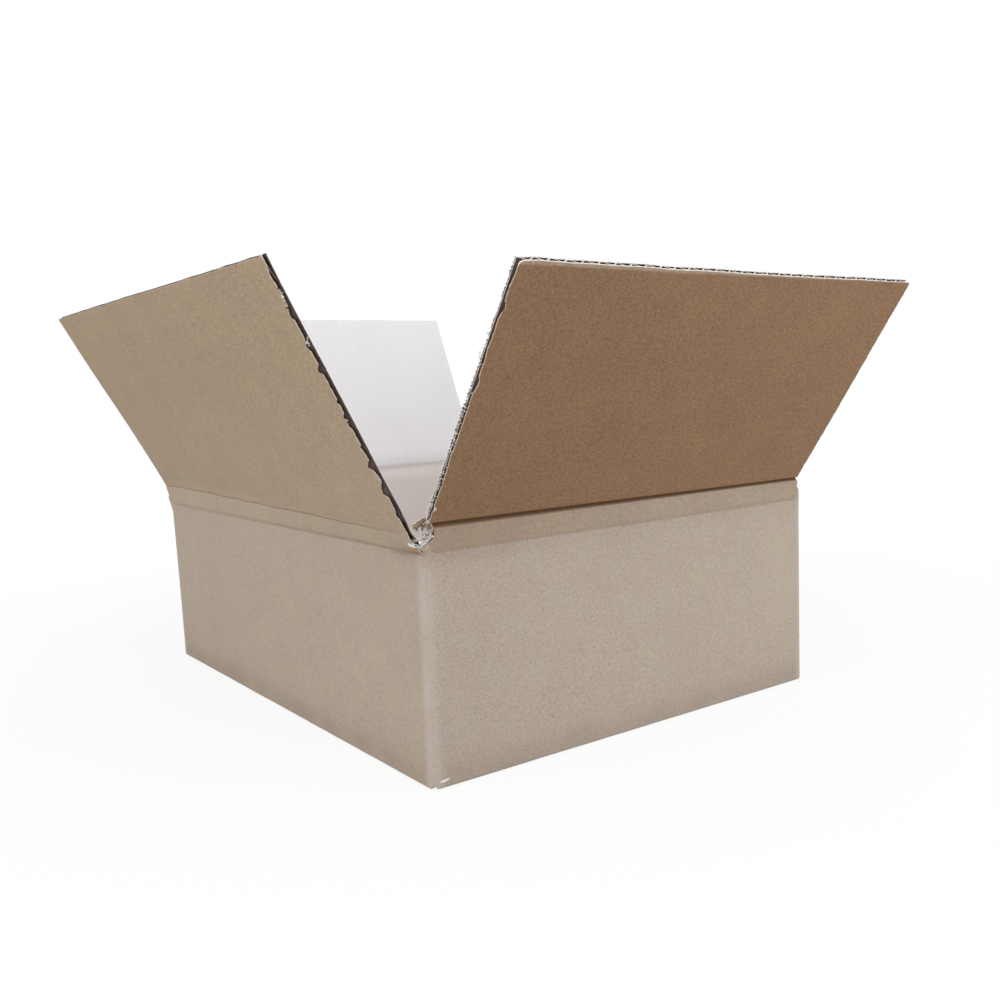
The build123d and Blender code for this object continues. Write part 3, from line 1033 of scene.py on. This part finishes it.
def build_flutes(wall):
    """Waved middle sheet of a flap: depth is the middle of the board plus a cosine across the flutes.

    Its swing is half the room between the liners, so it is pressed flat beside the fold. At the crushed tip
    of the left flap's front side the wave is turned over.
    """
    z, p = sizes(), papers()
    reach = z.flap_reach
    rows = np.concatenate([np.array([5.0, 6.5, 8.0, 10.0, 13.0, 18.0]) * MM,
                           np.linspace(24 * MM, reach - 3 * MM, 14),
                           reach - np.array([2.2, 1.5, 0.9, 0.5, 0.2, 0.0]) * MM])[:, None]
    count = round((wall.width - 2 * wall.inset) / z.flute_pitch)
    a = np.linspace(0, 1, count * FLUTE_STEPS + 1)
    low, high = (side[:, None] for side in cut_sides(wall, "medium", rows[:, 0] / reach))
    s = part_way(low, high, a)
    recess = 0.12 * MM * (1.5 + wander(a * count, z.seed + 23 + len(wall.name), 0.9))
    share = (rows + (front_longer(wall, s) - recess) * ramp(rows, 100, 18)) / reach
    line = leaf_line(wall, s, share)
    t = line[4]
    depth = board_depth(wall, s, t)
    swing = np.maximum((depth - 2 * z.liner - z.medium) / 2 - 0.04 * MM, 0.0)
    if not wall.short:
        swing = swing * (0.5 + 0.5 * ramp(t, 9, 9))
    near, crushed = high - s, wall.name == "left"
    phase = 2 * np.pi * count * a + np.pi * ramp(t, 112, 6) * fall(near, 5) * crushed
    middle = depth / 2 + swing * np.cos(phase) + flap_sag(wall, s, t)
    steep = np.sqrt(1 + (swing * 2 * np.pi / z.flute_pitch * np.sin(phase)) ** 2)
    half = (z.medium + 0.22 * MM * fall(reach - rows, 0.5)) / 2 * steep
    shape = slab(below_face(wall, s, line, middle - half), below_face(wall, s, line, middle + half))
    worn = 0.6 * ramp(t, 114.5, 3) * fall(near, 2.5) * crushed
    # The medium is painted shade: as dark as it looks inside the board.
    materials = [p.fluting, p.fluting, p.fluting if crushed else p.torn]
    marks = {"wear": np.tile(worn.ravel(), 2)}
    piece = make_piece(f"{wall.name}_flutes", shape, materials, two_sided_uv(s, t), marks)
    if wall.short:
        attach(piece, wall.body)
    else:
        bend_piece(piece)


# Torn scraps at the front corner

CORNER_VIEW = -35.7   # degrees round Z from which the torn corner's places are given


def corner_point(right, up, away):
    """Place at the front left slot by millimetres to the right, as seen from before it, up, and away."""
    z = sizes()
    turn = np.radians(CORNER_VIEW)
    corner = np.array((-z.width / 2, -z.depth / 2, z.crease_z))
    return (corner + right * MM * np.array((np.cos(turn), np.sin(turn), 0)) + up * MM * UP
            + away * MM * np.array((-np.sin(turn), np.cos(turn), 0)))


def scrap_net():
    """Net of a scrap: u from 0 to 1 along it, v from -1 to 1 across."""
    return np.meshgrid(np.linspace(0, 1, 30), np.linspace(-1, 1, 18))


def scrap(start, end, half_width, bulge, turn, crumple, seed):
    """Small torn strip of paper from one place to another: a bowed line carried across its width.

    The middle bulges towards the viewer, the strip rolls about its own line by the turn, its outline is
    ragged and its depth is a random sheet.
    """
    u, v = scrap_net()
    start, end = corner_point(*start), corner_point(*end)
    along = end - start
    size = np.linalg.norm(along)
    along = along / size
    toward = corner_point(0, 0, -1000) - corner_point(0, 0, 0)
    toward = toward - along * (toward @ along)
    toward = toward / np.linalg.norm(toward)
    across = np.cross(toward, along)
    ragged = 1 + 0.3 * wander(u[:1] * 6, seed, 1.0)
    wide = half_width * MM * ragged * (0.55 + 0.45 * np.sin(np.pi * (0.15 + 0.7 * u[:1])))
    reach = size * (u + 0.06 * wander(v[:, :1] * 4, seed + 1, 1.0) * np.abs(2 * u - 1))
    roll = wide / turn
    side, lift = roll * np.sin(turn * v), roll * (np.cos(turn * v) - 1)
    lift = lift + bulge * MM * np.sin(np.pi * u) + crumple * MM * drift(u * 5, v * 3, seed + 2, 1.0)
    front = start + reach[..., None] * along + side[..., None] * across + lift[..., None] * toward
    return slab(front, front - 0.2 * MM * toward)


def flakes(roots, size, seed, thick=0.12):
    """Small curled flakes of torn paper about given places, turned at random.

    Each is root + k (u a + 0.6 v b + c u u n) with random unit directions a, b, n, size k and curl c; u and v
    run from -1 to 1 and are shaken to fray the outline.
    """
    rng = np.random.default_rng(seed)
    count = len(roots)
    a, b = rng.normal(0, 1, (2, count, 3))
    a /= np.linalg.norm(a, axis=1, keepdims=True)
    n = np.cross(a, b)
    n /= np.linalg.norm(n, axis=1, keepdims=True)
    b = np.cross(n, a)
    u, v = np.meshgrid(np.linspace(-1, 1, 6), np.linspace(-1, 1, 5))
    fray = 1 + 0.35 * rng.uniform(-1, 1, (count, *u.shape))
    big = size * MM * rng.uniform(0.35, 1.0, count)
    curl = rng.uniform(-0.9, 0.9, (count, 1, 1)) * u * u
    shape = ((u * fray)[..., None] * a[:, None, None] + (0.6 * v * fray)[..., None] * b[:, None, None]
             + curl[..., None] * n[:, None, None])
    front = roots[:, None, None] + big[:, None, None, None] * shape
    back = front - thick * MM * n[:, None, None]
    _, quads, side = slab(front[0], back[0])
    points = np.concatenate([front.reshape(count, -1, 3), back.reshape(count, -1, 3)], 1)
    faces = (quads[None] + points.shape[1] * np.arange(count)[:, None, None]).reshape(-1, 4)
    return points.reshape(-1, 3), faces, np.tile(side, count)


def scattered(count, start, end, spread, seed):
    """Random places about a line between two corner places."""
    rng = np.random.default_rng(seed)
    start, end = corner_point(*start), corner_point(*end)
    return start + (end - start) * rng.uniform(0, 1, (count, 1)) + rng.normal(0, spread * MM, (count, 3))


def side_places(wall, t, inset, depth):
    """Places on a flap's side: t up from the fold, inset from the wall's end, depth below the outer face."""
    t, inset, depth = (np.atleast_1d(value) * MM for value in (t, inset, depth))
    s = wall.width / 2 - inset if wall.name == "left" else inset - wall.width / 2
    fold, tip, _, _ = fold_point(wall, ease(share_of(wall, s)))
    line = leaf_line(wall, s, t / np.hypot(tip[0] - fold[0], tip[1] - fold[1]))
    return below_face(wall, s, line, depth + flap_sag(wall, s, line[4]))


def fibres(count, places, spread, size, seed):
    """Fine torn fibres: bowed, tapering three-sided hairs that start near places and point at random."""
    rng = np.random.default_rng(seed)
    root = places[rng.integers(0, len(places), count)] + rng.normal(0, spread, (count, 3))
    way = rng.normal(0, 1, (count, 3))
    way /= np.linalg.norm(way, axis=1, keepdims=True)
    bow = rng.normal(0, 0.6, (count, 3))
    size = size * rng.uniform(0.4, 1.0, count)
    u = np.linspace(0, 1, 6)
    bend = u[:, None] * way[:, None] + (u ** 2)[:, None] * bow[:, None]
    line = root[:, None] + size[:, None, None] * bend
    across = np.cross(way, np.roll(way, 1, 1) + 0.1)
    across /= np.linalg.norm(across, axis=1, keepdims=True)
    other = np.cross(way, across)
    turn = (np.arange(3) * 2 * np.pi / 3)[:, None]
    ring = np.cos(turn) * across[:, None] + np.sin(turn) * other[:, None]
    thick = 0.055 * MM * (1 - 0.75 * u)
    points = line[:, :, None] + thick[:, None, None] * ring[:, None]
    quads = grid_quads(len(u), len(turn), closed=True)
    faces = (quads + len(u) * len(turn) * np.arange(count)[:, None, None]).reshape(-1, 4)
    return points.reshape(-1, 3), faces, np.zeros(len(faces), int)


def joined(parts):
    """Several point, face and side arrays as one."""
    shift = np.cumsum([0] + [len(points) for points, _, _ in parts[:-1]])
    return (np.concatenate([part[0] for part in parts]),
            np.concatenate([part[1] + k for part, k in zip(parts, shift)]),
            np.concatenate([part[2] for part in parts]))


# Scraps by start, end, half width, bulge, roll in radians, crumple and seed, placed as in corner_point
CURLS = (
    ((2.0, 15.2, 1.2), (-3.5, 11.0, 1.0), 1.6, 0.9, 1.0, 0.30, 51),
    ((2.4, 13.0, 1.2), (3.7, 9.2, 1.6), 1.3, 0.5, 0.9, 0.25, 61),
)

CORNER_PATCH = ((-1.7, 2.4, 1.0), (0.9, 3.2, 1.1), 0.9, 0.1, 0.3, 0.05, 57)

SHREDS = (
    ((-4.3, 5.8, 2.8), (4.3, 7.6, 2.3), 0.7, 0.3, 0.5, 0.25, 71),
    ((-6.2, 4.5, 4.4), (-1.4, 3.7, -0.5), 0.95, 0.6, 0.8, 0.40, 81),
    ((0.2, 12.0, 2.8), (0.9, 6.8, 2.4), 1.1, 0.2, 0.6, 0.50, 91),
    ((-0.9, 3.3, -0.3), (4.3, 7.5, 2.5), 0.38, 0.1, 0.3, 0.15, 95),
)

FOOT_SHRED = ((3.0, -95.9, 1.9), (6.6, -95.2, 4.4), 0.5, 0.1, 0.3, 0.10, 97)

# Flakes by count, ends of the line that they lie along, spread, size and seed
FLAKES = (
    (34, (-1.2, 4.4, 0.4), (3.7, 7.3, 2.4), 0.38, 0.75, 41),
    (18, (0.6, 11.0, 2.2), (1.8, 7.0, 2.0), 0.6, 0.7, 43),
    (10, (-5.8, 4.6, 3.8), (-1.6, 4.0, 0.0), 0.35, 0.7, 45),
    (26, (2.2, 16.2, 0.6), (-3.7, 12.6, 0.4), 0.16, 0.34, 47),
    (12, (-3.7, 12.6, 0.4), (-4.4, 10.6, 0.6), 0.14, 0.32, 49),
    (12, (2.2, 9.5, 1.0), (4.4, 10.4, 1.2), 0.14, 0.34, 52),
)

# Painted shade: dark fluting flakes put where there is only shade, below the big curl, in the gaps of the
# slot and between the curls.
SHADE_BITS = ((-2.1, 10.5, 0.6), (-1.6, 10.2, 0.7), (0.4, 8.2, 0.8), (2.6, 8.5, 0.8), (1.9, 8.1, 0.8),
             (-3.5, 6.6, 1.2), (-2.6, 4.2, -0.6), (0.9, 6.7, 0.9))

SHADE_BETWEEN_CURLS = ((0.7, 11.4, 0.3), (1.0, 11.9, 0.3), (1.5, 12.5, 0.3), (1.9, 13.0, 0.3), (0.3, 10.9, 0.4))


def curl_marks():
    """Tone of the curls: shaded side-flap kraft, a pale rim round a middle of painted shade, darker on one
    side, none on the patch.
    """
    u, v = scrap_net()
    rim = ease((np.maximum(np.abs(v), np.abs(2 * u - 1)) - 0.7) / 0.25)
    tone = {"lift": 1 + 0 * u, "wear": 0.8 * rim, "crease": (0.32 + 0.5 * ease(0.5 + 0.5 * v)) * (1 - rim)}
    return {key: np.concatenate([np.tile(value.ravel(), 2 * len(CURLS)), np.zeros(2 * u.size)])
            for key, value in tone.items()}


def build_scraps():
    """Torn tongues, curls and fibres in the slot at the front corner and at its foot; dark flakes as painted
    shade.
    """
    p = papers()
    curls, shreds = ([scrap(*row) for row in rows] for rows in (CURLS, SHREDS))
    shape = joined([*curls, scrap(*CORNER_PATCH)])
    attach(make_piece("corner_curls", shape, [p.side, p.torn, p.torn], None, curl_marks()), "box")
    roots = np.concatenate([part[0] for part in (*curls, *shreds)])
    fluff = [flakes(scattered(count, start, end, spread, seed), size, seed + 1)
             for count, start, end, spread, size, seed in FLAKES]
    shape = joined([*shreds, scrap(*FOOT_SHRED), *fluff, fibres(90, roots, 0.25 * MM, 1.5 * MM, 17)])
    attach(make_piece("corner_shreds", shape, [p.torn, p.torn, p.torn]), "box")
    # Painted shade: dark fluting flakes where shade falls in the torn corner.
    shape = joined([flakes(np.array([corner_point(*at) for at in places]), size, seed)
                    for places, size, seed in ((SHADE_BITS, 0.75, 54), (SHADE_BETWEEN_CURLS, 0.8, 55))])
    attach(make_piece("corner_fluting_bits", shape, [p.fluting, p.fluting, p.fluting]), "box")


# White bits on the left flap's torn side: t, inset and depth of each, in millimetres
LEFT_TUFTS = ((84.9, 2.3, 0.5), (85.6, 2.6, 0.7), (86.2, 2.9, 0.4), (86.9, 2.5, 1.0), (87.5, 2.2, 1.3),
              (88.1, 2.0, 1.7), (101.1, 2.9, 0.2), (103.1, 2.4, 0.4), (104.9, 2.6, 0.3), (107.6, 2.3, 0.5))

FRONT_TUFT = ((9.3, 2.6, 0.0), (9.9, 2.9, -0.1), (10.5, 2.6, 0.0))


def build_fluff():
    """Torn fibres on the sides of the two front flaps: bits along the blunt cut, and white tufts."""
    p, seed = papers(), sizes().seed
    walls = {wall.name: wall for wall in wall_table()}
    rng = np.random.default_rng(seed + 70)
    t = np.concatenate([rng.uniform(5, 58, 120), rng.uniform(58, 92, 30)])
    roots = side_places(walls["front"], t, rng.uniform(1.7, 2.5, len(t)), rng.uniform(1.1, 3.1, len(t)))
    tuft = flakes(side_places(walls["front"], *np.transpose(FRONT_TUFT)), 0.8, 73)
    shape = joined([flakes(roots, 0.42, seed + 71, 0.1), tuft])
    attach(make_piece("front_edge_fluff", shape, [p.torn, p.torn, p.torn]), "front_flap")
    shape = flakes(side_places(walls["left"], *np.transpose(LEFT_TUFTS)), 0.75, seed + 75, 0.1)
    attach(make_piece("left_edge_fluff", shape, [p.torn, p.torn, p.torn]), "left_flap")


# Stage

# Camera: place in metres, turn, rise and roll in degrees, and lens in millimetres
CAMERA = {"place": (-0.33119, -0.50317, 0.16576), "turn": -35.7205, "rise": 6.3428, "roll": -2.2203,
          "lens": 36.945}


def camera_axes(turn, rise, roll):
    """Right, up and back directions of a camera turned round Z, raised, then rolled."""
    a, e, r = np.radians((turn, rise, roll))
    back = np.array([np.sin(a) * np.cos(e), -np.cos(a) * np.cos(e), np.sin(e)])
    right = np.array([np.cos(a), np.sin(a), 0.0])
    up = np.cross(back, right)
    return np.cos(r) * right + np.sin(r) * up, -np.sin(r) * right + np.cos(r) * up, back


LAMP_AIM = (0, 0, 0.1)

LAMPS = (   # name, place and size
    ("key", (-0.45, -0.95, 1.25), 0.9),
    ("side", (-1.5, -0.1, 0.35), 0.9),
    ("fill", (0.6, -0.75, 0.3), 0.5),
)


def put_in_scene(name, data, axes, at):
    """Object in the scene from its X, Y and Z ways and its place."""
    item = bpy.data.objects.new(name, data)
    matrix = np.eye(4)
    matrix[:3, :3], matrix[:3, 3] = np.array(axes).T, at
    item.matrix_world = Matrix(matrix.tolist())
    bpy.context.scene.collection.objects.link(item)
    return item


def add_camera():
    """Camera at the photograph's place and angle."""
    data = bpy.data.cameras.new("view")
    data.sensor_width, data.lens = 36.0, CAMERA["lens"]
    data.clip_start, data.clip_end = 0.01, 50.0
    axes = camera_axes(CAMERA["turn"], CAMERA["rise"], CAMERA["roll"])
    bpy.context.scene.camera = put_in_scene("view", data, axes, CAMERA["place"])


def add_lamp(name, at, size, power):
    """Square soft lamp pointing at the box."""
    data = bpy.data.lights.new(name, "AREA")
    data.shape, data.size, data.energy = "SQUARE", size, power
    back = np.array(at, float) - np.array(LAMP_AIM, float)
    back /= np.linalg.norm(back)
    right = np.cross(UP, back)
    right /= np.linalg.norm(right)
    put_in_scene(name, data, (right, np.cross(back, right), back), at)


def seen_directly(tree):
    """1 where a ray comes from the camera, a mirror or glass, 0 for the light that falls on surfaces."""
    light = tree.nodes.new("ShaderNodeLightPath")
    seen = maths(tree, "MAXIMUM", light.outputs["Is Camera Ray"], light.outputs["Is Glossy Ray"])
    return maths(tree, "MAXIMUM", seen, light.outputs["Is Transmission Ray"])


def add_world(strength):
    """Even surrounding light, seen as white."""
    world = bpy.data.worlds.new("studio")
    bpy.context.scene.world = world
    world.use_nodes = True
    tree = world.node_tree
    tree.nodes.clear()
    dim, bright = (add_node(tree, "Background", Color=(1.0, 1.0, 1.0), Strength=value)
                   for value in (strength, 1.0))
    mix, out = add_node(tree, "MixShader"), add_node(tree, "OutputWorld")
    tree.links.new(seen_directly(tree), mix.inputs[0])
    tree.links.new(dim.outputs[0], mix.inputs[1])
    tree.links.new(bright.outputs[0], mix.inputs[2])
    tree.links.new(mix.outputs[0], out.inputs["Surface"])


FLOOR_DROP = 0.4 * MM                        # floor below the box
FLOOR_RINGS = (0.0005, 0.3, 0.8, 2.0, 6.0)   # radii of the floor's rings of points
FLOOR_STEPS = 96                             # points round a ring


def floor_material(tone):
    """Floor paint that glows white for the camera, less near the box and not under it."""
    material = bpy.data.materials.new("pale floor")
    material.use_nodes = True
    tree = material.node_tree
    op = partial(maths, tree)
    shader = tree.nodes["Principled BSDF"]
    shader.inputs["Roughness"].default_value = 0.9
    shader.inputs["Specular IOR Level"].default_value = 0.1
    seen = seen_directly(tree)
    tree.links.new(mixed(tree, seen, tuple(tone), (0.97, 0.97, 0.97)), shader.inputs["Base Color"])
    where = add_node(tree, "TexCoord").outputs["Object"]
    far = tree.nodes.new("ShaderNodeVectorMath")
    far.operation = "LENGTH"
    tree.links.new(where, far.inputs[0])
    clear = span(tree, far.outputs["Value"], 0.25, 0.55, 0.85, 1.0)
    apart = add_node(tree, "SeparateXYZ", Vector=where).outputs
    across = op("DIVIDE", op("ABSOLUTE", apart["X"]), sizes().width / 2)
    along = op("DIVIDE", op("ABSOLUTE", apart["Y"]), sizes().depth / 2)
    clear = op("MULTIPLY", clear, span(tree, op("MAXIMUM", across, along), 0.93, 0.96))
    glow = tree.nodes.new("ShaderNodeEmission")
    mix = add_node(tree, "MixShader")
    tree.links.new(op("MULTIPLY", seen, clear), mix.inputs[0])
    tree.links.new(shader.outputs[0], mix.inputs[1])
    tree.links.new(glow.outputs[0], mix.inputs[2])
    tree.links.new(mix.outputs[0], tree.nodes["Material Output"].inputs["Surface"])
    return material


def add_floor(tone):
    """Pale round floor, mostly white where the camera sees it, that keeps a soft shadow under the box."""
    turn = np.linspace(0, 2 * np.pi, FLOOR_STEPS, endpoint=False)
    radius = np.array(FLOOR_RINGS)[:, None]
    points = np.stack([radius * np.cos(turn), radius * np.sin(turn), 0 * radius * turn - FLOOR_DROP], -1)
    quads = grid_quads(len(FLOOR_RINGS), FLOOR_STEPS, closed=True)[:, ::-1]
    mesh = bpy.data.meshes.new("floor")
    mesh.from_pydata(points.reshape(-1, 3).tolist(), [], quads.tolist())
    mesh.materials.append(floor_material(tone))
    floor = bpy.data.objects.new("floor", mesh)
    bpy.context.scene.collection.objects.link(floor)


# Operators and panel

class BOX_OT_walls(Operator):
    """Make the walls with their worn corners and the glued tab."""
    bl_idname = "box.walls"
    bl_label = "Walls"

    def execute(self, context):
        build_walls()
        build_tab()
        return {"FINISHED"}


class BOX_OT_bottom(Operator):
    """Make the four closed bottom flaps."""
    bl_idname = "box.bottom"
    bl_label = "Bottom"

    def execute(self, context):
        build_bottom()
        return {"FINISHED"}


class BOX_OT_flaps(Operator):
    """Make the liners and flutes of the four open flaps."""
    bl_idname = "box.flaps"
    bl_label = "Flaps"

    def execute(self, context):
        for wall in wall_table():
            build_liner(wall, "outer")
            build_liner(wall, "inner")
            build_flutes(wall)
        return {"FINISHED"}


class BOX_OT_scraps(Operator):
    """Make the torn paper at the front corner and on the flaps' sides."""
    bl_idname = "box.scraps"
    bl_label = "Torn corner"

    def execute(self, context):
        build_scraps()
        build_fluff()
        return {"FINISHED"}


class BOX_OT_stage(Operator):
    """Make the floor, the light and the camera."""
    bl_idname = "box.stage"
    bl_label = "Stage"

    def execute(self, context):
        studio = context.scene.box_studio
        context.scene.view_settings.view_transform = "Standard"
        add_world(studio.ambient)
        for name, at, size in LAMPS:
            add_lamp(name, at, size, getattr(studio, name))
        add_floor(studio.floor)
        add_camera()
        return {"FINISHED"}


class BOX_PT_panel(Panel):
    """Settings and steps of the box."""
    bl_idname = "BOX_PT_panel"
    bl_label = "Corrugated box"
    bl_space_type = "VIEW_3D"
    bl_region_type = "UI"
    bl_category = "Box"

    def draw(self, context):
        for operator in OPERATORS:
            self.layout.operator(operator.bl_idname)
        for group in (context.scene.box_sizes, context.scene.box_colours, context.scene.box_studio):
            column = self.layout.column(align=True)
            for key in group.bl_rna.properties.keys():
                if key not in ("rna_type", "name"):
                    column.prop(group, key)


GROUPS = (("box_sizes", BoxSizes), ("box_colours", BoxColours), ("box_studio", StudioSettings))
OPERATORS = (BOX_OT_walls, BOX_OT_bottom, BOX_OT_flaps, BOX_OT_scraps, BOX_OT_stage)


def register():
    """Add the classes and the scene settings."""
    for key, group in GROUPS:
        bpy.utils.register_class(group)
        setattr(bpy.types.Scene, key, PointerProperty(type=group))
    for item in (*OPERATORS, BOX_PT_panel):
        bpy.utils.register_class(item)


def unregister():
    """Remove the classes and the scene settings."""
    for item in (BOX_PT_panel, *reversed(OPERATORS)):
        bpy.utils.unregister_class(item)
    for key, group in reversed(GROUPS):
        delattr(bpy.types.Scene, key)
        bpy.utils.unregister_class(group)


def main():
    """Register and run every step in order."""
    register()
    bpy.ops.box.walls()
    bpy.ops.box.bottom()
    bpy.ops.box.flaps()
    bpy.ops.box.scraps()
    bpy.ops.box.stage()
    bpy.context.view_layer.update()


if __name__ == "__main__":
    main()
